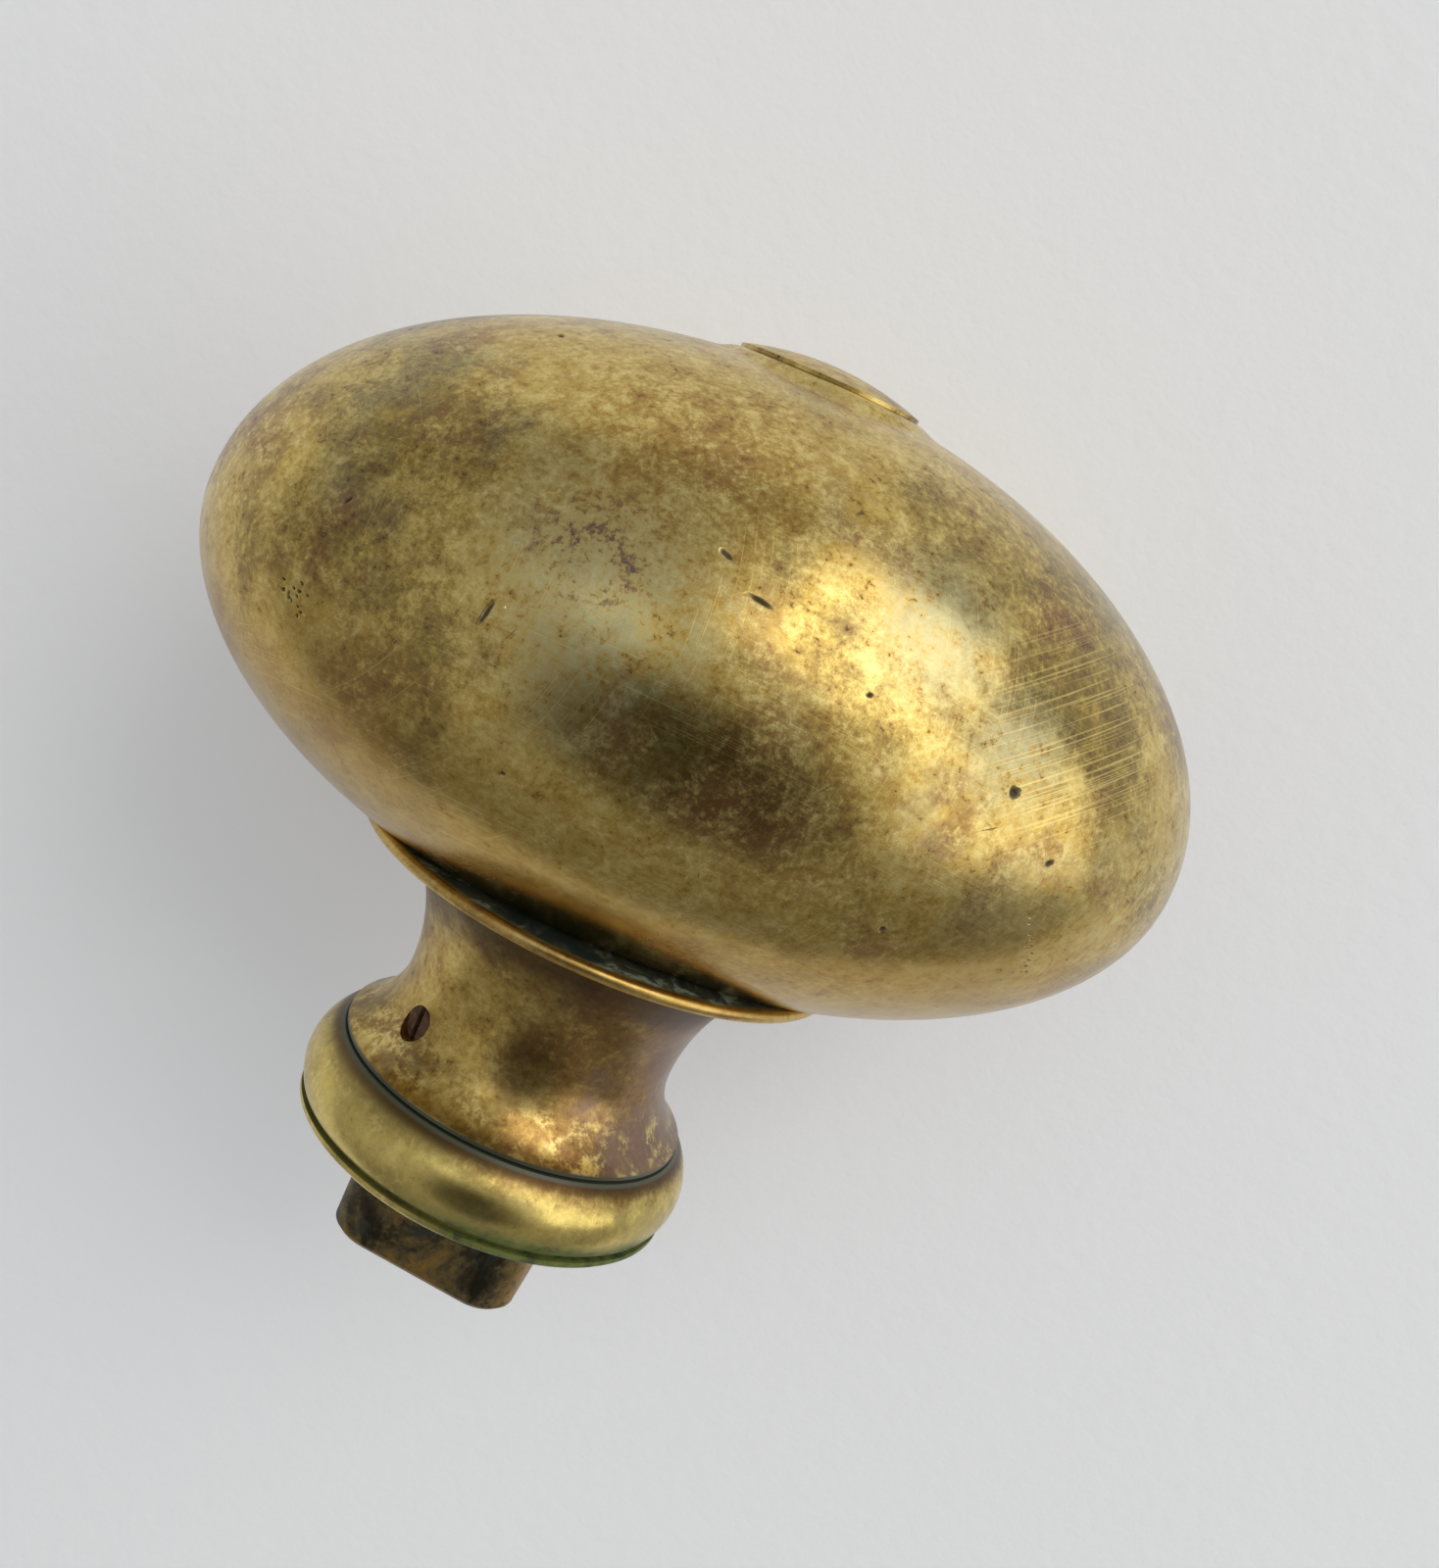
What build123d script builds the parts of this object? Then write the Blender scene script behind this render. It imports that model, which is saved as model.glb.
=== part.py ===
from build123d import *
import math
import os

# Oval brass door knob: a hollow egg-shaped head on a waisted neck, with a loose ring
# that seats on the door and a squared spigot that goes into it.
# Each piece is drawn upright: Z is the height above the seating face, with the door
# below it, and X is the head's long axis. The finished pieces are turned so that the
# door side is +Y, the knob's front is -Y and the head's short axis is upright.

# Head
head_length = 68.0
head_width = 48.0
head_height = 36.9
head_front_depth = 20.95
head_back_depth = 18.3
head_wall = 3.0

# Head's flat seat on the flange, cut this deep into the egg's back, and the floor above it
seat_cut = 3.4
floor_thickness = 3.6

# Front cap and the hole that it closes
access_radius = 4.8
cap_seat_width = 0.6
cap_overhang = 0.7
cap_rim = 0.25
cap_dome = 1.2
cap_seat_sink = 0.15
cap_seat_depth = 3.2
cap_plug_length = 3.4

# Flat flange between head and neck
flange_radius = 17.2
flange_thickness = 0.9

# Waisted neck
neck_foot_radius = 12.6
neck_waist_radius = 9.9
neck_waist_height = 11.3
neck_top_radius = 13.6
neck_land = 0.3

# Base ring
ring_height = 5.9
ring_radius = 14.3
ring_top_radius = 12.9
ring_lip_radius = 13.9
ring_lip_height = 0.55
ring_quirk_radius = 13.3
ring_quirk_width = 0.5
ring_relief_depth = 0.5

# Spindle core
spigot_width = 14.0
spigot_corner = 3.0
spigot_length = 8.0
spigot_turn = -11.0
journal_step = 0.2
core_radius = 6.4
tenon_width = 6.0
thread_step = 0.5
thread_length = 6.0
socket_width = 7.1
socket_depth = 22.0

# Clamp nut and washer inside the head
washer_thickness = 0.8
nut_height = 4.0
nut_slot_width = 1.2
nut_slot_depth = 1.5

# Set screw
screw_radius = 1.2
screw_height = 9.5
screw_angle = 40.0
screw_sink = 0.15
screw_slot_width = 0.5
screw_slot_depth = 0.7

# Clearances
running_fit = 0.05
ring_end_play = 0.2
spigot_gap = 0.3
slip_fit = 0.05
thread_gap = 0.03
washer_gap = 0.15
assembly_gap = 0.2
socket_tip_gap = 0.1
seat_gap = 0.1
edge_break = 0.2

seat_height = head_height - head_back_depth + seat_cut
flange_height = seat_height - flange_thickness
floor_top = seat_height + floor_thickness
neck_bottom = ring_height + ring_end_play
cap_seat_radius = access_radius + cap_seat_width
cap_radius = cap_seat_radius + cap_overhang
journal_radius = spigot_width / 2 + journal_step
spigot_reach = (spigot_width / 2 - spigot_corner) * math.sqrt(2) + spigot_corner
spigot_shoulder = ring_relief_depth - ring_end_play
thread_radius = tenon_width / 2 - thread_step
washer_radius = access_radius - assembly_gap
nut_radius = washer_radius - edge_break / 2
cap_seat_height = head_height + head_front_depth - cap_seat_sink


def point(radius, height):
    return (radius, 0, height)


def turned(outline):
    """A solid of revolution from the lines and arcs that enclose half of its section."""
    return revolve(make_face(Wire(outline)), Axis.Z)


def disc(radius, bottom, top):
    upright = (Align.CENTER, Align.CENTER, Align.MIN)
    return Pos(0, 0, bottom) * Cylinder(radius, top - bottom, align=upright)


def square_bar(width, corner, bottom, top, turn):
    section = RectangleRounded(width, width, corner) if corner else Rectangle(width, width)
    return Pos(0, 0, bottom) * Rot(0, 0, turn) * extrude(section, top - bottom)


def egg(length, width, front_depth, back_depth):
    """A closed egg about the head's centre: a round body, stretched along X."""
    half_width = width / 2
    front = EllipticalCenterArc((0, 0), half_width, front_depth, start_angle=0, arc_size=90)
    back = EllipticalCenterArc((0, 0), half_width, back_depth, start_angle=270, arc_size=90)
    axis_line = Line((0, front_depth), (0, -back_depth))
    section = make_face([back.edge(), front.edge(), axis_line.edge()])
    body = revolve(Plane.XZ * section, Axis.Z)
    return Pos(0, 0, head_height) * scale(body, by=(length / width, 1, 1))


def make_knob_head():
    """A hollow egg with a flat seat and a flat floor over the flange, open at its front."""
    hollow = 2 * head_wall
    outer = egg(head_length, head_width, head_front_depth, head_back_depth)
    inner = egg(
        head_length - hollow,
        head_width - hollow,
        head_front_depth - head_wall,
        head_back_depth - head_wall,
    )
    back = head_height - head_back_depth
    head = outer - (inner - disc(head_length, back, floor_top))
    head += disc(cap_seat_radius, cap_seat_height - cap_seat_depth, cap_seat_height)
    head -= disc(cap_seat_radius + edge_break, cap_seat_height, cap_seat_height + cap_dome)
    head -= disc(access_radius, cap_seat_height - 2 * cap_seat_depth, cap_seat_height)
    head -= disc(flange_radius + seat_gap, back, seat_height)
    return head - square_bar(tenon_width + 2 * slip_fit, 0, seat_height, floor_top, 0)


def make_front_cap():
    bottom = cap_seat_height
    outline = Polyline(point(0, bottom), point(cap_radius, bottom), point(cap_radius, bottom + cap_rim))
    top = bottom + cap_dome
    sagitta = cap_dome - cap_rim
    dome_radius = (cap_radius ** 2 + sagitta ** 2) / (2 * sagitta)
    half = cap_radius / 2
    half_height = top - dome_radius + math.sqrt(dome_radius ** 2 - half ** 2)
    dome = ThreePointArc(point(cap_radius, bottom + cap_rim), point(half, half_height), point(0, top))
    axis_line = Line(point(0, top), point(0, bottom))
    cap = turned([*outline.edges(), dome, axis_line])
    plug = disc(access_radius - slip_fit, bottom - cap_plug_length, bottom)
    plug = chamfer(plug.edges().sort_by(Axis.Z)[0], edge_break)
    return cap + plug


def make_seat_flange():
    """A thin flat disc with a rounded rim, clamped between the neck and the head."""
    rim = flange_radius - flange_thickness / 2
    edge = ThreePointArc(
        point(rim, flange_height),
        point(flange_radius, flange_height + flange_thickness / 2),
        point(rim, seat_height),
    )
    flat = Polyline(
        point(rim, seat_height),
        point(0, seat_height),
        point(0, flange_height),
        point(rim, flange_height),
    )
    hole = square_bar(tenon_width + 2 * slip_fit, 0, flange_height, seat_height, 0)
    return turned([edge, *flat.edges()]) - hole


def make_neck():
    """A waisted tube that flares out again to meet the flange."""
    bottom, top = neck_bottom, flange_height
    low = bottom + neck_land
    high = top - neck_land
    waist = point(neck_waist_radius, neck_waist_height)
    below = TangentArc(waist, point(neck_foot_radius, low), tangent=(0, 0, -1))
    above = TangentArc(waist, point(neck_top_radius, high), tangent=(0, 0, 1))
    bore = core_radius + slip_fit
    rest = Polyline(
        point(neck_top_radius, high),
        point(neck_top_radius, top),
        point(bore, top),
        point(bore, bottom),
        point(neck_foot_radius, bottom),
        point(neck_foot_radius, low),
    )
    return turned([below, above, *rest.edges()]) - screw_hole(screw_radius + thread_gap)


def make_base_ring():
    """The loose ring: a fat bead over a narrow quirk and a thin lip, which seats on the door.
    Its underside is relieved around the spigot's corners, so that the seat lies clear of them."""
    bore = journal_radius + running_fit
    relief = spigot_reach + spigot_gap
    bead_bottom = ring_lip_height + ring_quirk_width
    bead_top = ring_height - edge_break
    lip = ring_lip_radius - edge_break
    under = Polyline(
        point(bore, ring_height),
        point(bore, ring_relief_depth),
        point(relief, ring_relief_depth),
        point(relief, 0),
        point(lip, 0),
        point(ring_lip_radius, edge_break),
        point(ring_lip_radius, ring_lip_height),
        point(ring_quirk_radius, ring_lip_height),
        point(ring_quirk_radius, bead_bottom),
        point(ring_lip_radius, bead_bottom),
    )
    bead = ThreePointArc(
        point(ring_lip_radius, bead_bottom),
        point(ring_radius, (bead_bottom + bead_top) / 2 - edge_break),
        point(ring_top_radius, bead_top),
    )
    top = Polyline(
        point(ring_top_radius, bead_top),
        point(ring_top_radius - edge_break, ring_height),
        point(bore, ring_height),
    )
    return turned([*under.edges(), bead, *top.edges()])


def make_spindle_core():
    """The stem inside the neck, from the socketed spigot to the thread in the head."""
    shoulder = spigot_shoulder
    spigot = square_bar(spigot_width, spigot_corner, -spigot_length, shoulder, spigot_turn)
    end_face = spigot.faces().sort_by(Axis.Z)[0]
    spigot = chamfer(end_face.edges(), 2 * edge_break)
    thread_bottom = floor_top - seat_gap
    core = spigot + disc(journal_radius, shoulder, neck_bottom)
    core += disc(core_radius, neck_bottom, flange_height)
    core += square_bar(tenon_width, 0, flange_height, thread_bottom, 0)
    thread = disc(thread_radius, thread_bottom, floor_top + thread_length)
    core += chamfer(thread.edges().sort_by(Axis.Z)[-1], 2 * edge_break)
    core -= square_bar(socket_width, 0, -spigot_length, socket_depth - spigot_length, screw_angle)
    return core - screw_hole(screw_radius + thread_gap)


def make_head_washer():
    top = floor_top + washer_thickness
    washer = disc(washer_radius, floor_top, top)
    return washer - disc(thread_radius + washer_gap, floor_top, top)


def make_head_nut():
    bottom = floor_top + washer_thickness
    top = bottom + nut_height
    nut = disc(nut_radius, bottom, top) - disc(thread_radius + thread_gap, bottom, top)
    nut = chamfer(nut.edges().sort_by(Axis.Z)[-1], edge_break)
    slot = Pos(0, 0, top - nut_slot_depth / 2) * Box(2 * nut_radius, nut_slot_width, nut_slot_depth)
    return nut - slot


def radial_rod(radius, inner, outer):
    """A rod that lies across the stem at the set screw's height and angle."""
    rod = Cylinder(radius, outer - inner, align=(Align.CENTER, Align.CENTER, Align.MIN))
    return Rot(0, 0, screw_angle) * Pos(inner, 0, screw_height) * Rot(0, 90, 0) * rod


def screw_hole(radius):
    return radial_rod(radius, 0, neck_foot_radius)


def neck_radius_at_screw():
    """The neck's outside radius at the set screw's height, on the arc below the waist."""
    spread = neck_foot_radius - neck_waist_radius
    drop = neck_waist_height - neck_bottom - neck_land
    arc_radius = (spread ** 2 + drop ** 2) / (2 * spread)
    offset = neck_waist_height - screw_height
    return neck_waist_radius + arc_radius - math.sqrt(arc_radius ** 2 - offset ** 2)


def make_set_screw():
    inner = socket_width / 2 + socket_tip_gap
    outer = neck_radius_at_screw() - screw_sink
    screw = radial_rod(screw_radius, inner, outer)
    slot = Box(screw_slot_depth, screw_slot_width, 2 * screw_radius)
    slot = Rot(0, 0, screw_angle) * Pos(outer - screw_slot_depth / 2, 0, screw_height) * slot
    return screw - slot


makers = {
    "knob_head": make_knob_head,
    "front_cap": make_front_cap,
    "seat_flange": make_seat_flange,
    "neck": make_neck,
    "base_ring": make_base_ring,
    "spindle_core": make_spindle_core,
    "head_washer": make_head_washer,
    "head_nut": make_head_nut,
    "set_screw": make_set_screw,
}

os.makedirs("parts", exist_ok=True)
for name, maker in makers.items():
    solids = maker().solids()
    shape = solids[0] if len(solids) == 1 else Compound(children=solids)
    export_step(Rot(90, 0, 0) * shape, f"parts/{name}.step")
    print(name, len(solids), round(shape.volume, 1))
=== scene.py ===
import math

import bmesh
import bpy
from mathutils import Euler, Matrix, Vector, noise


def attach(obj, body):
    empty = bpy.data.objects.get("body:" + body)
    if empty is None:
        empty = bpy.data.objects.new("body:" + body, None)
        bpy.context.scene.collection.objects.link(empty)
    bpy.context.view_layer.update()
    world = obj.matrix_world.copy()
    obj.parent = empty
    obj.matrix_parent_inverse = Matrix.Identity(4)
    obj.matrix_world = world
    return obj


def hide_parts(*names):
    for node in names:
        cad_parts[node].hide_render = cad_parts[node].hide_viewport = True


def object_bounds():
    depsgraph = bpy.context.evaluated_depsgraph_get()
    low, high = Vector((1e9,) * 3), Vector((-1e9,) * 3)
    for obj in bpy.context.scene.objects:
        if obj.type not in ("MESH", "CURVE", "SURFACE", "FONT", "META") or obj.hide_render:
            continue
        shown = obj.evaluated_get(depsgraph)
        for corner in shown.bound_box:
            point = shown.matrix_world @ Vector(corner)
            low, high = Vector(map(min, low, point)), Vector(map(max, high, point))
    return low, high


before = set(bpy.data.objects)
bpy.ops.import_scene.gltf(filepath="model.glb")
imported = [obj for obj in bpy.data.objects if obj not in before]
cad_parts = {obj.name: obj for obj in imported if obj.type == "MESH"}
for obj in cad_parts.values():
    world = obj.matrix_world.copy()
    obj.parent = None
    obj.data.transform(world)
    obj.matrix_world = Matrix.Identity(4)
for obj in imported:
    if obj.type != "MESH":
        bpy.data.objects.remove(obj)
cadLow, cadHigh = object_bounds()
mm = 0.001
mmPerMetre = 1000.0
seedStep = (0.010, 0.013)  # metres between one seed's pattern and the next
print("frame loaded:", sorted(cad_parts))


class Signal:
    def __init__(self, paint, socket):
        self.paint = paint
        self.socket = socket

    def maths(self, operation, *others, **settings):
        inputs = dict(enumerate([self, *others]))
        return self.paint.node("ShaderNodeMath", {"operation": operation, **settings}, inputs)

    def __add__(self, other):
        return self.maths("ADD", other)

    def __radd__(self, other):
        return self.maths("ADD", other)

    def __sub__(self, other):
        return self.maths("SUBTRACT", other)

    def __rsub__(self, other):
        return self.paint.node("ShaderNodeMath", {"operation": "SUBTRACT"}, {0: other, 1: self})

    def __mul__(self, other):
        return self.maths("MULTIPLY", other)

    def __rmul__(self, other):
        return self.maths("MULTIPLY", other)

    def clamp(self):
        return self.maths("ADD", 0.0, use_clamp=True)

    def most(self, other):
        return self.maths("MAXIMUM", other)

    def smooth(self, low, high):
        # 0 below low, 1 above high, easy in between; low may be above high
        return self.paint.node(
            "ShaderNodeMapRange",
            {"interpolation_type": "SMOOTHSTEP", "clamp": True},
            {"Value": self, "From Min": low, "From Max": high},
            "Result",
        )

    def band(self, low, high):
        # the same on a length, with both ends in millimetres
        return self.smooth(low * mm, high * mm)


class Paint:
    def __init__(self, name):
        self.material = bpy.data.materials.new(name)
        self.material.use_nodes = True
        self.begin(self.material.node_tree, "ShaderNodeBsdfPrincipled", "ShaderNodeOutputMaterial")
        self.place = self.node("ShaderNodeTexCoord", {}, {}, "Object")

    @classmethod
    def forWorld(cls, world):
        paint = cls.__new__(cls)
        paint.begin(world.node_tree, "ShaderNodeBackground", "ShaderNodeOutputWorld")
        return paint

    def begin(self, tree, shader, output):
        self.tree = tree
        tree.nodes.clear()
        self.shader = tree.nodes.new(shader)
        tree.links.new(self.shader.outputs[0], tree.nodes.new(output).inputs["Surface"])

    def node(self, kind, settings, inputs, output=0):
        made = self.tree.nodes.new(kind)
        for name, value in settings.items():
            if name == "stops":
                ramp = made.color_ramp
                while len(ramp.elements) < len(value):
                    ramp.elements.new(0.5)
                for element, (position, colour) in zip(ramp.elements, value):
                    element.position = position
                    element.color = (*colour, 1.0)
            else:
                setattr(made, name, value)
        for name, value in inputs.items():
            self.put(made.inputs[name], value)
        return Signal(self, made.outputs[output])

    def put(self, socket, value):
        if isinstance(value, Signal):
            self.tree.links.new(value.socket, socket)
        elif isinstance(value, (tuple, list)) and socket.type == "RGBA":
            socket.default_value = (*value, 1.0)
        else:
            socket.default_value = value

    def set(self, **inputs):
        for name, value in inputs.items():
            self.put(self.shader.inputs[name.replace("_", " ")], value)

    # grain size is in millimetres
    def cloud(self, grain, detail, rough, warp=0.0, seed=0.0):
        return self.node(
            "ShaderNodeTexNoise", {"noise_dimensions": "3D"},
            {"Vector": self.shifted(self.place, seed), "Scale": mmPerMetre / grain,
             "Detail": detail, "Roughness": rough, "Distortion": warp}, "Fac",
        )

    def shifted(self, place, seed):
        # each seed reads the pattern from another place
        if not seed:
            return place
        away = (seed * seedStep[0], seed * seedStep[1], 0)
        return self.node("ShaderNodeVectorMath", {"operation": "ADD"}, {0: place, 1: away})

    def cells(self, grain, seed):
        return self.node(
            "ShaderNodeTexVoronoi", {"feature": "F1"},
            {"Vector": self.shifted(self.place, seed), "Scale": mmPerMetre / grain}, "Distance",
        )

    def turned(self, turn, stretch):
        # turn in degrees, stretch as the grain's length along each axis of the turned frame
        angles = tuple(math.radians(part) for part in turn)
        return self.node(
            "ShaderNodeMapping", {"vector_type": "TEXTURE"},
            {"Vector": self.place, "Rotation": angles, "Scale": stretch}, "Vector",
        )

    def spot(self, centre, radius, full):
        # 1 out to the share full of the radius, then falling to 0 at the radius; both in millimetres
        away = self.node(
            "ShaderNodeVectorMath", {"operation": "DISTANCE"},
            {0: self.place, 1: tuple(part * mm for part in centre)}, "Value",
        )
        return away.smooth(radius * mm, radius * mm * full)

    def axes(self):
        return [self.node("ShaderNodeSeparateXYZ", {}, {"Vector": self.place}, axis) for axis in "XYZ"]

    def stemRadius(self):
        x, _, z = self.axes()
        return (x * x + z * z).maths("SQRT")

    def mix(self, factor, low, high):
        # a Mix node numbers its sockets, and these three are its colours
        colourA, colourB, result = 6, 7, 2
        settings = {"data_type": "RGBA", "clamp_factor": True}
        return self.node("ShaderNodeMix", settings, {"Factor": factor, colourA: low, colourB: high}, result)

    def ramp(self, factor, stops):
        return self.node("ShaderNodeValToRGB", {"stops": stops}, {"Fac": factor}, "Color")

    def bump(self, height, distance, strength):
        inputs = {"Height": height, "Distance": distance * mm, "Strength": strength}
        return self.node("ShaderNodeBump", {}, inputs, "Normal")


tints = {
    "gold": (0.57, 0.39, 0.095),
    "paleGold": (0.82, 0.65, 0.24),
    "amber": (0.40, 0.235, 0.055),
    "brown": (0.21, 0.115, 0.048),
    "darkBrown": (0.070, 0.042, 0.024),
    "redBrown": (0.25, 0.115, 0.055),
    "plum": (0.24, 0.165, 0.145),
    "olive": (0.28, 0.205, 0.068),
    "greyGreen": (0.36, 0.36, 0.23),
    "verdigris": (0.078, 0.086, 0.052),
    "paleVerdigris": (0.36, 0.45, 0.35),
    "darkVerdigris": (0.020, 0.036, 0.026),
    "moss": (0.085, 0.150, 0.028),
    "soot": (0.030, 0.024, 0.013),
}


# sizes and places are in millimetres; a pair of numbers is where something begins and where it is full
agedLook = {
    # how the grit runs from one colour to the next, where the brass is bright and where it has aged
    "bright": [(0.38, tints["amber"]), (0.47, tints["gold"]), (0.60, tints["paleGold"])],
    "aged": [(0.39, tints["brown"]), (0.49, tints["olive"]), (0.62, tints["gold"])],
    "agedFrom": 0.60, "agedFull": 0.38, "warmthShift": 0.16,
    "reddish": (0.50, 0.60), "reddishGrit": (0.60, 0.44), "reddishShare": 0.8,
    "greenish": (0.50, 0.66), "greenishShare": 0.3,
    "specks": (0.43, 0.37), "specksShare": 0.75,
}


def agedBrass(paint, patchGrain, mottleGrain, speckGrain, warmth, seed):
    # broad patches, then fine mottling and specks: returns colour, tarnish and both grains
    look = agedLook
    patches = paint.cloud(patchGrain, 4.0, 0.6, 0.4, seed=seed)
    drift = paint.cloud(patchGrain * 0.5, 5.0, 0.62, 0.3, seed=seed + 3)
    greens = paint.cloud(patchGrain * 0.7, 5.0, 0.6, 0.2, seed=seed + 13)
    mottle = paint.cloud(mottleGrain, 8.0, 0.80, 0.3, seed=seed + 5)
    speck = paint.cloud(speckGrain, 5.0, 0.75, 0.2, seed=seed + 9)
    grit = gritOf(mottle, speck)
    bright = paint.ramp(grit, look["bright"])
    aged = paint.ramp(grit, look["aged"])
    agedFrom = look["agedFrom"] - look["warmthShift"] * warmth
    share = (patches * 0.75 + grit * 0.25).smooth(agedFrom, look["agedFull"])
    colour = paint.mix(share, bright, aged)
    reddish = (drift * 0.65 + grit * 0.35).smooth(*look["reddish"]) * look["reddishShare"]
    colour = paint.mix(reddish * grit.smooth(*look["reddishGrit"]), colour, tints["redBrown"])
    greenish = (greens * 0.7 + grit * 0.3).smooth(*look["greenish"])
    colour = paint.mix(greenish * look["greenishShare"], colour, tints["greyGreen"])
    specks = (speck * 0.55 + mottle * 0.45).smooth(*look["specks"])
    colour = paint.mix(specks * look["specksShare"], colour, tints["darkBrown"])
    tarnish = (reddish * 0.6 + specks).clamp()
    return colour, tarnish, mottle, speck


def gritOf(mottle, speck):
    return mottle * 0.6 + speck * 0.4


def scratches(paint, turn, length, width, cut, seed):
    # a higher cut leaves fewer lines
    long = paint.turned(turn, (length, width, length * 0.5))
    lines = paint.node(
        "ShaderNodeTexNoise", {"noise_dimensions": "3D"},
        {"Vector": paint.shifted(long, seed), "Scale": mmPerMetre, "Detail": 2.0, "Roughness": 0.5}, "Fac",
    )
    return lines.smooth(cut, cut + 0.08)


headLook = {
    "brass": {"patchGrain": 15.0, "mottleGrain": 1.7, "speckGrain": 0.42, "warmth": 0.5, "seed": 0},
    # each mark's spots on the egg (centre, radius, share of the radius that is full), the grit that it
    # takes, how strong it is and its colour
    "marks": {
        "pale": ([((7.5, -42.5, 22.2), 10.0, 0.1)], (0.40, 0.56), 0.60, tints["greyGreen"]),
        "smoky": (
            [((-9.5, -48.2, 19.2), 7.0, 0.1), ((-16.2, -43.9, 19.5), 5.5, 0.1)],
            (0.40, 0.52), 0.70, tints["greyGreen"]),
        "lilac": ([((9.0, -44.5, 21.5), 5.5, 0.2)], (0.49, 0.43), 0.80, (0.13, 0.10, 0.12)),
        "red": (
            [((-4.0, -37.0, 24.0), 7.5, 0.2), ((6.0, -52.0, 17.0), 11.0, 0.2)],
            (0.58, 0.43), 0.50, (0.33, 0.165, 0.060)),
    },
    # the amber on the door side, less rubbed and also painted shade: where it begins and is full, and how
    # strong
    "tarnishAndShadeAlong": (-39.0, -29.0), "tarnishAndShadeHeight": (24.5, 18.0), "tarnishAndShadeShare": 0.6,
    # each set of lines: turn in degrees, length, width, cut and seed
    "hair": ((20, 35, 10), 14.0, 0.07, 0.62, 0), "crossHair": ((-35, 10, 70), 11.0, 0.07, 0.64, 4),
    "combed": ((-9, 34, -148), 16.0, 0.12, 0.54, 8), "combedPatch": ((-20.0, -45.0, 16.0), 9.5, 0.35),
    "nicks": ((60, -20, 35), 3.5, 0.14, 0.73, 15),
    "roughness": 0.20, "bump": (0.014, 0.5),
}


def headFinish():
    look = headLook
    paint = Paint("agedBrassHead")
    colour, tarnish, mottle, speck = agedBrass(paint, **look["brass"])
    grit = gritOf(mottle, speck)
    for spots, takes, strength, tint in look["marks"].values():
        zone = paint.spot(*spots[0])
        for beside in spots[1:]:
            zone = zone.most(paint.spot(*beside))
        colour = paint.mix(zone * grit.smooth(*takes) * strength, colour, tint)
    # towards the door and the table the hand has rubbed it less; the amber there is also painted shade on
    # the side turned away from the lamps
    _, along, height = paint.axes()
    tarnishAndShade = along.band(*look["tarnishAndShadeAlong"]) * height.band(*look["tarnishAndShadeHeight"])
    colour = paint.mix(tarnishAndShade * look["tarnishAndShadeShare"], colour, tints["amber"])
    # very fine polishing lines in two directions, and one patch combed by coarser grit
    hair = scratches(paint, *look["hair"]).most(scratches(paint, *look["crossHair"]))
    patch = paint.spot(*look["combedPatch"])
    combed = scratches(paint, *look["combed"]) * patch
    colour = paint.mix((hair * 0.25 + combed * 0.6).clamp(), colour, tints["paleGold"])
    nicks = scratches(paint, *look["nicks"])
    colour = paint.mix(nicks * 0.8, colour, tints["darkBrown"])
    # old dirt stays in the bottoms of the pits
    dirt = paint.node("ShaderNodeAttribute", {"attribute_name": "pitDepth"}, {}, "Fac")
    colour = paint.mix(dirt.clamp() * 0.9, colour, tints["soot"])
    paint.set(
        Base_Color=colour, Metallic=(1.0 - tarnish * 0.25 - dirt).clamp(),
        Roughness=look["roughness"] + tarnish * 0.12 + speck * 0.08 + dirt.clamp() * 0.4,
        Normal=paint.bump(mottle * 0.3 + speck * 0.35 - nicks * 0.6 - hair * 0.2, *look["bump"]),
    )
    return paint.material


capLook = {
    "brass": {"patchGrain": 9.0, "mottleGrain": 2.0, "speckGrain": 0.6, "warmth": 0.8, "seed": 21},
    "turningGrain": 0.5, "roughness": 0.28, "bump": (0.010, 0.5),
}


def capFinish():
    look = capLook
    paint = Paint("agedBrassCap")
    colour, tarnish, _, speck = agedBrass(paint, **look["brass"])
    turned = paint.cells(look["turningGrain"], seed=2)
    paint.set(
        Base_Color=colour, Metallic=1.0 - tarnish * 0.2, Roughness=look["roughness"] + speck * 0.12,
        Normal=paint.bump(speck + turned * 0.2, *look["bump"]),
    )
    return paint.material


flangeLook = {
    "brass": {"patchGrain": 8.0, "mottleGrain": 1.4, "speckGrain": 0.4, "warmth": 0.9, "seed": 31},
    "copper": (0.54, 0.33, 0.10), "copperShare": 0.45,
    "corrosionGrain": 3.2,
    "corrosion": [
        (0.42, tints["darkVerdigris"]), (0.52, tints["verdigris"]), (0.60, tints["paleVerdigris"])],
    "creviceAlong": (-21.70, -21.90), "creviceRadius": (16.90, 16.40), "creviceWander": 0.6,
    # the painted shade inside the rim: where it begins and is full, and how strong
    "rimRadius": (15.6, 16.8), "underShare": 0.75,
    "roughness": 0.30, "bump": (0.03, 0.5),
}


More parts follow.
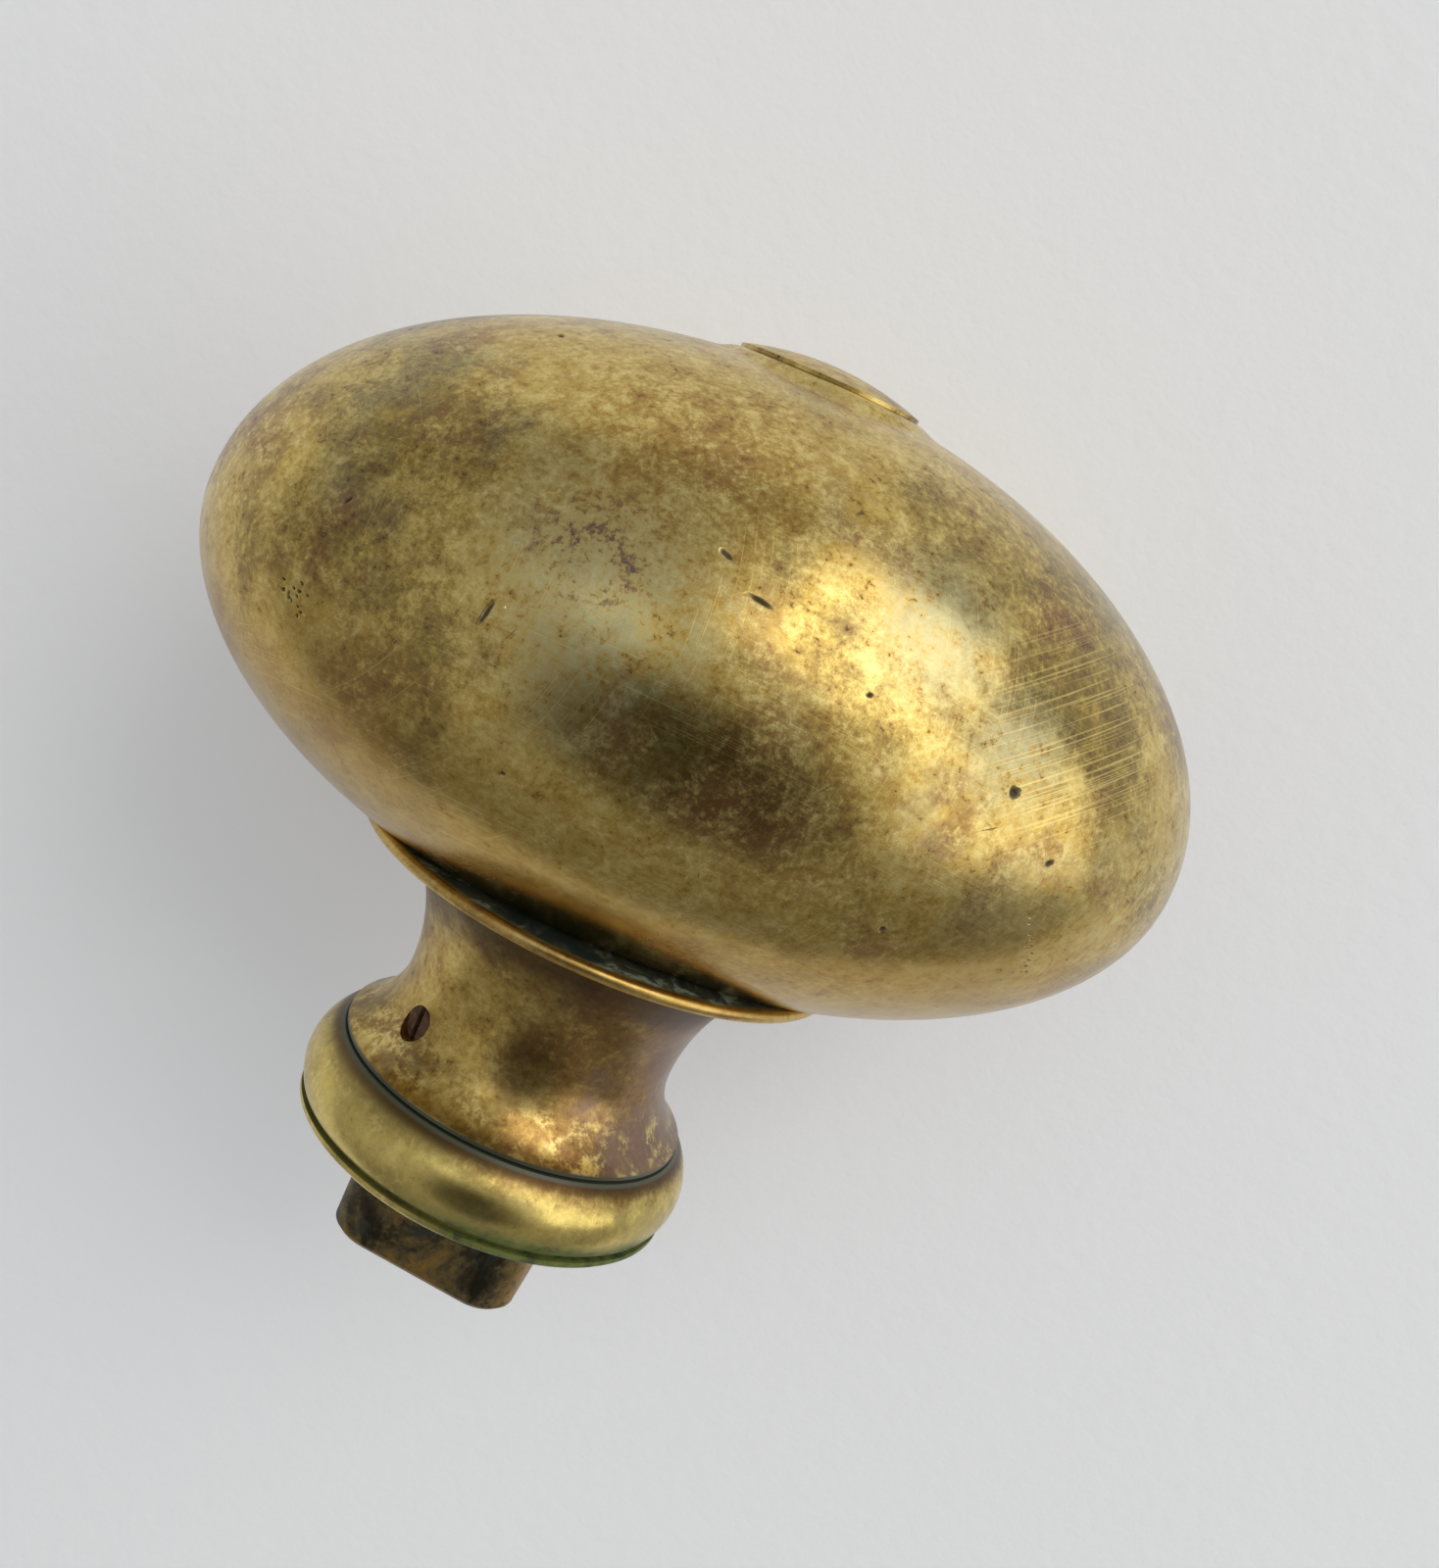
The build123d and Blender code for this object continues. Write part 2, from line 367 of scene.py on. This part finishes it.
def flangeFinish():
    look = flangeLook
    paint = Paint("agedBrassFlange")
    colour, _, _, speck = agedBrass(paint, **look["brass"])
    radius = paint.stemRadius()
    _, along, _ = paint.axes()
    colour = paint.mix(look["copperShare"], colour, look["copper"])
    # the face towards the head holds old polish and green corrosion; the rounded rim stays bright
    blotch = paint.cloud(look["corrosionGrain"], 6.0, 0.68, 0.8, seed=4)
    wide = look["creviceWander"] * mm
    wander = paint.cloud(2.5, 3.0, 0.6, seed=33) * wide - wide / 2
    crevice = along.band(*look["creviceAlong"]) * (radius + wander).band(*look["creviceRadius"])
    colour = paint.mix(crevice, colour, paint.ramp(blotch, look["corrosion"]))
    # painted shade: inside the rim and away from the crevice the flange is darkened to dark brown, where it
    # overhangs the neck
    under = (1 - radius.band(*look["rimRadius"])) * (1 - crevice)
    colour = paint.mix(under * look["underShare"], colour, tints["darkBrown"])
    paint.set(
        Base_Color=colour, Metallic=1.0 - crevice * 0.9,
        Roughness=look["roughness"] + crevice * 0.4 + speck * 0.08,
        Normal=paint.bump(speck * (0.4 + crevice), *look["bump"]),
    )
    return paint.material


neckLook = {
    "brass": {"patchGrain": 9.0, "mottleGrain": 1.8, "speckGrain": 0.5, "warmth": 0.4, "seed": 44},
    "amberShare": 0.25,
    "wander": 14.0,
    "redAcross": (3.5, -2.5), "redShare": 0.75,
    "redStain": [(0.40, (0.19, 0.10, 0.035)), (0.52, (0.29, 0.155, 0.055)), (0.64, tints["gold"])],
    "plumAcross": (-3.0, -8.5), "plumShare": 0.65,
    # the shade painted on the neck's top under the flange: where it begins and is full, and how strong
    "shadeUnderFlangeAlong": (-15.0, -19.0), "shadeUnderFlangeShare": 0.80,
    "footAlong": (-10.0, -7.5), "footPatches": (0.48, 0.60), "footGrit": (0.46, 0.56), "footShare": 0.85,
    "jointAlong": (-6.48, -6.30),
    "roughness": 0.29, "bump": (0.018, 0.5),
}


def neckFinish():
    look = neckLook
    paint = Paint("agedBrassNeck")
    colour, tarnish, mottle, speck = agedBrass(paint, **look["brass"])
    grit = gritOf(mottle, speck)
    x, along, _ = paint.axes()
    # the -X side has gone reddish brown and plum, and the neck's top under the flange is darkened nearly
    # black as painted shade
    wide = look["wander"] * mm
    wander = paint.cloud(5.0, 4.0, 0.6, 0.4, seed=6) * wide - wide / 2
    colour = paint.mix(look["amberShare"], colour, tints["amber"])
    red = (x + wander).band(*look["redAcross"])
    colour = paint.mix(red * look["redShare"], colour, paint.ramp(grit, look["redStain"]))
    plum = (x + wander).band(*look["plumAcross"])
    colour = paint.mix(plum * look["plumShare"], colour, tints["plum"])
    # painted shade: the neck's top under the flange's overhang is darkened to dark brown
    shadeUnderFlange = (along + wander * 0.25).band(*look["shadeUnderFlangeAlong"])
    colour = paint.mix(shadeUnderFlange * look["shadeUnderFlangeShare"], colour, tints["darkBrown"])
    foot = along.band(*look["footAlong"]) * paint.cloud(3.0, 3.0, 0.6, seed=46).smooth(*look["footPatches"])
    colour = paint.mix(foot * grit.smooth(*look["footGrit"]) * look["footShare"], colour, tints["paleGold"])
    joint = along.band(*look["jointAlong"])
    colour = paint.mix(joint, colour, tints["verdigris"])
    paint.set(
        Base_Color=colour, Metallic=1.0 - (joint * 0.7 + shadeUnderFlange * 0.3 + plum * 0.15).clamp(),
        Roughness=look["roughness"] + tarnish * 0.12 + shadeUnderFlange * 0.15,
        Normal=paint.bump(mottle * 0.35 + speck * 0.4, *look["bump"]),
    )
    return paint.material


ringLook = {
    "brass": {"patchGrain": 7.0, "mottleGrain": 1.5, "speckGrain": 0.45, "warmth": 0.8, "seed": 51},
    "yellow": (0.76, 0.62, 0.20), "yellowShare": 0.50,
    "haloAlong": (-2.4, -4.0), "haloWander": 2.2, "haloSpeck": 1.2, "haloShare": 0.9,
    "haloAcross": (6.0, -4.0), "haloRust": (0.120, 0.050, 0.018),
    "darkAlong": (-5.0, -5.6), "darkShare": 0.7, "jointAlong": (-5.63, -5.78),
    "quirkTop": (-1.3, -1.0), "quirkFoot": (-0.45, -0.60), "quirkShare": 0.8,
    "mossAlong": (-1.6, -0.4), "mossAlongWander": 1.8,
    "mossAcross": (12.0, 3.0), "mossAcrossWander": 12.0, "mossShare": 0.9,
    "moss": [(0.38, tints["darkVerdigris"]), (0.48, tints["moss"]), (0.64, (0.17, 0.21, 0.05))],
    "underRadius": (13.4, 12.8), "underAlong": (-0.4, -0.1), "underShare": 0.6,
    "roughness": 0.26, "bump": (0.016, 0.5),
}


def ringFinish():
    look = ringLook
    paint = Paint("yellowBrassRing")
    colour, tarnish, mottle, speck = agedBrass(paint, **look["brass"])
    radius = paint.stemRadius()
    x, along, _ = paint.axes()
    colour = paint.mix(look["yellowShare"], colour, look["yellow"])
    wander = paint.cloud(5.0, 4.0, 0.65, 0.3, seed=8)
    # a rusty halo beside the joint with the neck, strongest on the -X side, and verdigris in the joint
    ragged = along + wander * (look["haloWander"] * mm) + speck * (look["haloSpeck"] * mm)
    halo = ragged.band(*look["haloAlong"])
    stain = paint.mix(x.band(*look["haloAcross"]), tints["olive"], look["haloRust"])
    colour = paint.mix(halo * look["haloShare"], colour, stain)
    colour = paint.mix(along.band(*look["darkAlong"]) * look["darkShare"], colour, tints["darkBrown"])
    joint = along.band(*look["jointAlong"])
    colour = paint.mix(joint, colour, tints["verdigris"])
    # green corrosion down in the quirk, and a mossy band above the lip on the -X side
    quirk = along.band(*look["quirkTop"]) * along.band(*look["quirkFoot"])
    mossAlong = (along + wander * (look["mossAlongWander"] * mm)).band(*look["mossAlong"])
    mossAcross = (x + wander * (look["mossAcrossWander"] * mm)).band(*look["mossAcross"])
    green = (quirk * look["quirkShare"]).most(mossAlong * mossAcross * look["mossShare"])
    colour = paint.mix(green, colour, paint.ramp(paint.cloud(1.4, 5.0, 0.65, 0.4, seed=14), look["moss"]))
    underneath = radius.band(*look["underRadius"]) * along.band(*look["underAlong"])
    colour = paint.mix(underneath * look["underShare"], colour, tints["olive"])
    paint.set(
        Base_Color=colour, Metallic=1.0 - (green * 0.7 + joint * 0.8).clamp(),
        Roughness=look["roughness"] + green * 0.35 + tarnish * 0.12 + halo * 0.1,
        Normal=paint.bump(mottle * 0.4 + speck * 0.4, *look["bump"]),
    )
    return paint.material


coreLook = {
    "cast": [
        (0.40, tints["soot"]), (0.47, (0.075, 0.060, 0.030)), (0.54, (0.20, 0.145, 0.058)),
        (0.64, tints["amber"])],
    "grey": (0.075, 0.095, 0.075), "greyPatches": (0.52, 0.64), "greyShare": 0.5,
    # painted light on the -X side: where it begins and is full, its specks, and how strong
    "litSideAcross": (-4.2, -6.2), "litSideSpecks": (0.36, 0.50), "litSideShare": 0.8,
    "filed": ((0, 30, 90), 9.0, 0.20, 0.58, 5),
    "metal": 0.8, "roughness": 0.42, "bump": (0.08, 0.6),
}


def coreFinish():
    look = coreLook
    paint = Paint("dullBrassCore")
    patches = paint.cloud(4.2, 5.0, 0.68, 0.6, seed=61)
    speck = paint.cloud(0.6, 5.0, 0.75, seed=62)
    x, _, _ = paint.axes()
    colour = paint.ramp(patches * 0.75 + speck * 0.25, look["cast"])
    grey = paint.cloud(3.0, 4.0, 0.6, 0.4, seed=66).smooth(*look["greyPatches"])
    colour = paint.mix(grey * look["greyShare"], colour, look["grey"])
    # painted light: the -X side, towards the lamps, is lightened to amber in specks
    corner = x.band(*look["litSideAcross"]) * speck.smooth(*look["litSideSpecks"])
    colour = paint.mix(corner * look["litSideShare"], colour, tints["amber"])
    filed = scratches(paint, *look["filed"])
    paint.set(
        Base_Color=colour, Metallic=look["metal"], Roughness=look["roughness"] + speck * 0.2,
        Normal=paint.bump(patches * 0.9 + speck * 0.6 - filed * 0.3, *look["bump"]),
    )
    return paint.material


innerLook = {"turned": [(0.35, tints["olive"]), (0.65, tints["gold"])], "grain": 1.2, "roughness": 0.35}


def innerFinish():
    look = innerLook
    paint = Paint("innerBrass")
    speck = paint.cloud(look["grain"], 4.0, 0.6, seed=71)
    colour = paint.ramp(speck, look["turned"])
    paint.set(Base_Color=colour, Metallic=1.0, Roughness=look["roughness"] + speck * 0.1)
    return paint.material


screwLook = {
    "rust": [(0.35, (0.075, 0.038, 0.020)), (0.55, (0.16, 0.080, 0.038)), (0.75, (0.26, 0.15, 0.07))],
    "grain": 0.5, "metal": 0.3, "roughness": 0.75, "bump": (0.04, 0.8),
}


def screwFinish():
    look = screwLook
    paint = Paint("rustySteel")
    speck = paint.cloud(look["grain"], 5.0, 0.7, seed=81)
    paint.set(
        Base_Color=paint.ramp(speck, look["rust"]), Metallic=look["metal"], Roughness=look["roughness"],
        Normal=paint.bump(speck, *look["bump"]),
    )
    return paint.material


finishes = {
    "knob_head": headFinish, "front_cap": capFinish, "seat_flange": flangeFinish, "neck": neckFinish,
    "base_ring": ringFinish, "spindle_core": coreFinish, "head_washer": innerFinish,
    "set_screw": screwFinish,
}
materials = {name: make() for name, make in finishes.items()}
materials["head_nut"] = materials["head_washer"]
print("finishes made:", len(materials))

for name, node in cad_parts.items():
    node.data.materials.clear()
    node.data.materials.append(materials[name])


headShape = {
    "centre": -36.9, "frontDepth": 20.95, "backDepth": 18.3, "halfLength": 34.0, "halfWidth": 24.0,
    "flangeRadius": 17.3, "seat": -22.0, "seatFillet": 1.0,
    "capRadius": 6.1, "capSeat": -57.68, "capFillet": 1.5,
    "subdivisions": 7, "waviness": 0.10, "wavesGrain": 17.0, "wavesSink": 0.6, "seed": 7,
    # where edges are halved: how far past a pit in each round, and between which shares of a radius
    "pitRounds": (0.6, 0.4, 0.25), "capRing": (0.8, 1.4),
    "seatRing": (0.96, 1.1), "seatBelow": 0.6, "seatRounds": 2,
}
# place on the egg, half length, half width, depth and turn of each pit, in millimetres and degrees
headPits = [
    ((12.9, -39.4, 22.0), 0.80, 0.13, 0.16, 80), ((0.1, -45.7, 21.8), 0.70, 0.12, 0.14, -8),
    ((2.6, -47.1, 20.9), 0.42, 0.16, 0.14, -20), ((16.0, -53.8, 8.6), 0.25, 0.20, 0.14, 0),
    ((-16.9, -41.7, 20.1), 0.36, 0.30, 0.24, 10), ((-20.8, -38.7, 18.9), 0.26, 0.20, 0.16, 30),
    ((22.5, -41.2, 17.3), 0.40, 0.11, 0.12, 60), ((8.8, -31.8, 22.2), 0.22, 0.12, 0.12, 20),
    ((-13.6, -32.0, 21.0), 0.24, 0.20, 0.16, 45), ((-7.0, -43.5, 21.9), 0.17, 0.12, 0.12, 15),
]
# a pit's outer edge and how near a point is to be tested, as shares of its size, then its wall, its ragged
# edge and its dirt
pitShape = {"rim": 1.25, "near": 2.2, "steepness": 1.5, "ragged": 0.35, "raggedness": 3.1, "dirt": 1.6}
# small holes: a cluster near one end, where each is shorter than the last, and a string near the other
holeCluster = {
    "centre": (23.5, -34.9, 17.1), "stray": (1.0, 1.3, 0.8), "count": 14, "long": 0.20, "shorter": 0.008,
    "wide": 0.10, "deep": 0.14, "turn": 40,
}
holeString = {
    "start": (-21.2, -35.6, 18.6), "run": (-2.5, 3.9, -2.4), "stray": 0.25, "count": 9, "long": 0.09,
    "wide": 0.07, "deep": 0.08, "turn": 25,
}


def onEgg(point):
    # the point moved along its ray from the head's centre until it lies on the egg
    shape = headShape
    x, y, z = point[0], point[1] - shape["centre"], point[2]
    depth = shape["frontDepth"] if y < 0 else shape["backDepth"]
    reach = math.sqrt((x / shape["halfLength"]) ** 2 + (y / depth) ** 2 + (z / shape["halfWidth"]) ** 2)
    return Vector((x / reach, y / reach + shape["centre"], z / reach))


def eggNormal(point):
    shape = headShape
    y = point.y - shape["centre"]
    depth = shape["frontDepth"] if y < 0 else shape["backDepth"]
    outward = (point.x / shape["halfLength"] ** 2, y / depth ** 2, point.z / shape["halfWidth"] ** 2)
    return Vector(outward).normalized()


def refine(mesh, edges):
    bmesh.ops.subdivide_edges(mesh, edges=edges, cuts=1, use_grid_fill=True)
    bmesh.ops.triangulate(mesh, faces=[face for face in mesh.faces if len(face.verts) > 4])
    for vertex in mesh.verts:
        vertex.co = onEgg(vertex.co)


def refineNear(mesh, places, rounds):
    # each round halves the edges that lie near a place
    for reach in rounds:
        refine(mesh, [
            edge for edge in mesh.edges
            if any((edge.verts[0].co - place).length < reach + size for place, size in places)
        ])


def stemDistance(place):
    return math.hypot(place.x, place.z)


def refineRing(mesh, radius, ring, chosen):
    # halves the edges between two shares of a radius around the stem's axis
    refine(mesh, [
        edge for edge in mesh.edges
        if chosen(edge.verts[0].co) and ring[0] < stemDistance(edge.verts[0].co) / radius < ring[1]
    ])


def eased(share):
    return share * share * (3 - 2 * share)


def meetCap(mesh):
    # the casting is flat under the cap and rises in a small fillet to its rim
    shape = headShape
    for vertex in mesh.verts:
        beyond = (stemDistance(vertex.co) - shape["capRadius"]) / shape["capFillet"]
        if vertex.co.y < shape["centre"] and beyond < 1:
            vertex.co.y += (shape["capSeat"] - vertex.co.y) * eased(1 - max(0.0, beyond))


def meetFlange(mesh):
    # the casting is flat where the flange bears on it and rises in a small fillet past its rim
    shape = headShape
    for vertex in mesh.verts:
        beyond = (stemDistance(vertex.co) - shape["flangeRadius"]) / shape["seatFillet"]
        if vertex.co.y > shape["seat"] and beyond < 1:
            vertex.co.y = shape["seat"] + (vertex.co.y - shape["seat"]) * eased(max(0.0, beyond))


def porousPits():
    found = []
    hole = holeCluster
    for index in range(hole["count"]):
        drift = noise.random_vector()
        strays = zip(hole["centre"], drift, hole["stray"])
        place = tuple(middle + part * stray for middle, part, stray in strays)
        long = hole["long"] - hole["shorter"] * index
        found.append((place, long, hole["wide"], hole["deep"], hole["turn"] * index))
    hole = holeString
    for index in range(hole["count"]):
        share = index / (hole["count"] - 1)
        drift = noise.random_vector() * hole["stray"]
        x, y, z = (start + run * share for start, run in zip(hole["start"], hole["run"]))
        place = (x + drift.x, y + drift.y, z)
        found.append((place, hole["long"], hole["wide"], hole["deep"], hole["turn"]))
    return found


def carvePits(mesh, pits):
    lanes = []
    for place, long, wide, deep, turn in pits:
        centre = onEgg(place)
        up = eggNormal(centre)
        side = up.cross(Vector((0, 1, 0))).normalized()
        side = Matrix.Rotation(math.radians(turn), 3, up) @ side
        lanes.append((centre, side, up.cross(side), long, wide, deep, up))
    depthLayer = mesh.verts.layers.float.new("pitDepth")
    for vertex in mesh.verts:
        sunk = Vector((0, 0, 0))
        share = 0.0
        for centre, side, across, long, wide, deep, up in lanes:
            offset = vertex.co - centre
            if offset.length > pitShape["near"] * long + wide:
                continue
            ragged = 1 + pitShape["ragged"] * noise.noise(vertex.co * pitShape["raggedness"])
            away = math.hypot(offset.dot(side) / long, offset.dot(across) / wide) / ragged
            if away < pitShape["rim"]:
                fall = (1 - (away / pitShape["rim"]) ** 2) ** pitShape["steepness"]
                sunk -= up * deep * fall
                share = max(share, fall)
        vertex.co += sunk
        vertex[depthLayer] = min(1.0, pitShape["dirt"] * share)


def asPiece(name, mesh, materialName, body):
    bmesh.ops.scale(mesh, vec=(mm, mm, mm), verts=mesh.verts)
    data = bpy.data.meshes.new(name)
    mesh.to_mesh(data)
    mesh.free()
    data.shade_smooth()
    data.materials.append(materials[materialName])
    piece = bpy.data.objects.new(name, data)
    bpy.context.scene.collection.objects.link(piece)
    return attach(piece, body)


def makeHead():
    shape = headShape
    noise.seed_set(shape["seed"])
    mesh = bmesh.new()
    bmesh.ops.create_icosphere(mesh, subdivisions=shape["subdivisions"], radius=1.0)
    for vertex in mesh.verts:
        x, y, z = vertex.co
        depth = shape["frontDepth"] if y < 0 else shape["backDepth"]
        vertex.co = (x * shape["halfLength"], y * depth + shape["centre"], z * shape["halfWidth"])
    pits = headPits + porousPits()
    places = [(onEgg(place), long) for place, long, _, _, _ in pits]
    refineNear(mesh, places, shape["pitRounds"])
    refineRing(mesh, shape["capRadius"], shape["capRing"], lambda place: place.y < shape["centre"])
    lowest = shape["seat"] - shape["seatBelow"]
    for _ in range(shape["seatRounds"]):
        refineRing(mesh, shape["flangeRadius"], shape["seatRing"], lambda place: place.y > lowest)
    for vertex in mesh.verts:
        wave = noise.noise(vertex.co / shape["wavesGrain"]) - shape["wavesSink"]
        vertex.co += eggNormal(vertex.co) * shape["waviness"] * wave
    carvePits(mesh, pits)
    meetCap(mesh)
    meetFlange(mesh)
    bmesh.ops.recalc_face_normals(mesh, faces=mesh.faces)
    head = asPiece("knobHeadCasting", mesh, "knob_head", "knob")
    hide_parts("knob_head")
    print("head:", len(head.data.polygons), "faces")


makeHead()


# lengths in metres, but the paper's fibre in millimetres
stageSet = {
    "floorGap": 0.0002, "floorSize": 1.3, "paper": (0.83, 0.84, 0.86), "paperGlow": 0.24,
    "paperRoughness": 0.9, "fibreGrain": 1.8, "fibreBump": (0.14, 0.6), "lampsAim": (0, -0.035, 0),
    # height of the view direction and the room's brightness there, from the horizon to straight up
    "room": ((0.0, 0.34), (0.50, 0.42), (0.80, 0.52), (0.94, 0.48), (0.985, 0.20), (1.0, 0.05)),
    # where the room is dark: a direction, the cosines where it starts and is full, and how dark it gets
    "gloom": (((-0.08, 0.30, 0.95), 0.80, 0.96, 0.85), ((-0.20, 0.98, 0.0), 0.10, 0.90, 0.35)),
}
# each lamp: the direction it lies in, its distance, width, height, turn in degrees, brightness and colour
lamps = {
    "window": {"toward": (-0.40, -0.76, 0.51), "away": 1.80, "size": (1.03, 1.60), "turn": 0,
               "glow": 1.95, "colour": (1.0, 0.97, 0.91)},
    "balconyDoor": {"toward": (-0.85, -0.24, 0.47), "away": 1.80, "size": (1.48, 1.40), "turn": 0,
                    "glow": 1.15, "colour": (1.0, 0.98, 0.93)},
    "skylight": {"toward": (0.26, -0.42, 0.87), "away": 1.80, "size": (0.52, 0.52), "turn": 20,
                 "glow": 0.6, "colour": (0.88, 0.95, 1.0)},
}


def makeFloor():
    mesh = bmesh.new()
    bmesh.ops.create_grid(mesh, x_segments=1, y_segments=1, size=stageSet["floorSize"] / 2)
    bmesh.ops.translate(mesh, vec=(0, 0, cadLow.z - stageSet["floorGap"]), verts=mesh.verts)
    data = bpy.data.meshes.new("paperFloor")
    mesh.to_mesh(data)
    mesh.free()
    floor = bpy.data.objects.new("paperFloor", data)
    bpy.context.scene.collection.objects.link(floor)
    paint = Paint("paper")
    fibre = paint.bump(paint.cloud(stageSet["fibreGrain"], 5.0, 0.6), *stageSet["fibreBump"])
    paint.set(Base_Color=stageSet["paper"], Roughness=stageSet["paperRoughness"], Normal=fibre)
    # the paper looks paler to the eye and in the metal than the lamps alone make it
    seen = paint.node("ShaderNodeLightPath", {}, {}, "Is Camera Ray")
    mirrored = paint.node("ShaderNodeLightPath", {}, {}, "Is Glossy Ray")
    glow = tuple(part * stageSet["paperGlow"] for part in stageSet["paper"])
    paint.set(Emission_Color=paint.mix((seen + mirrored).clamp(), (0, 0, 0), glow), Emission_Strength=1.0)
    data.materials.append(paint.material)


def areaLight(name, toward, away, size, turn, glow, colour):
    aim = Vector(stageSet["lampsAim"])
    lamp = bpy.data.lights.new(name, "AREA")
    lamp.shape = "RECTANGLE"
    lamp.size, lamp.size_y = size
    lamp.energy = glow * math.pi * size[0] * size[1]  # so that the lamp itself is as bright as glow
    lamp.color = colour
    holder = bpy.data.objects.new(name, lamp)
    bpy.context.scene.collection.objects.link(holder)
    holder.location = aim + Vector(toward).normalized() * away
    facing = (aim - holder.location).to_track_quat("-Z", "Y")
    holder.rotation_euler = (facing.to_matrix() @ Matrix.Rotation(math.radians(turn), 3, "Z")).to_euler()


def makeWorld():
    world = bpy.data.worlds.new("room")
    bpy.context.scene.world = world
    world.use_nodes = True
    paint = Paint.forWorld(world)
    toward = paint.node("ShaderNodeTexCoord", {}, {}, "Generated")
    height = paint.node("ShaderNodeSeparateXYZ", {}, {"Vector": toward}, "Z")
    light = paint.ramp(height, [(position, (grey, grey, grey)) for position, grey in stageSet["room"]])
    for direction, start, full, depth in stageSet["gloom"]:
        inputs = {0: toward, 1: tuple(Vector(direction).normalized())}
        cosine = paint.node("ShaderNodeVectorMath", {"operation": "DOT_PRODUCT"}, inputs, "Value")
        light = paint.mix(cosine.smooth(start, full) * depth, light, (0.0, 0.0, 0.0))
    paint.put(paint.shader.inputs["Color"], light)


# close above the knob; its place, lens and sensor in millimetres, its turn in degrees, its clip in metres
cameraSet = {
    "place": (7.162, -53.383, 102.65), "turn": (-13.905, 3.573, -156.555),
    "sensor": 36.0, "lens": 35.82, "shift": (0.0784, 0.0040), "clip": (0.005, 20.0),
}


def makeCamera():
    data = bpy.data.cameras.new("camera")
    data.sensor_width = cameraSet["sensor"]
    data.lens = cameraSet["lens"]
    data.shift_x, data.shift_y = cameraSet["shift"]
    data.clip_start, data.clip_end = cameraSet["clip"]
    camera = bpy.data.objects.new("camera", data)
    camera.location = [part * mm for part in cameraSet["place"]]
    camera.rotation_euler = Euler([math.radians(part) for part in cameraSet["turn"]], "XYZ")
    bpy.context.scene.collection.objects.link(camera)
    bpy.context.scene.camera = camera


makeFloor()
makeWorld()
for name, lamp in lamps.items():
    areaLight(name, **lamp)
makeCamera()
bpy.context.scene.view_settings.view_transform = "Standard"
print("stage set")
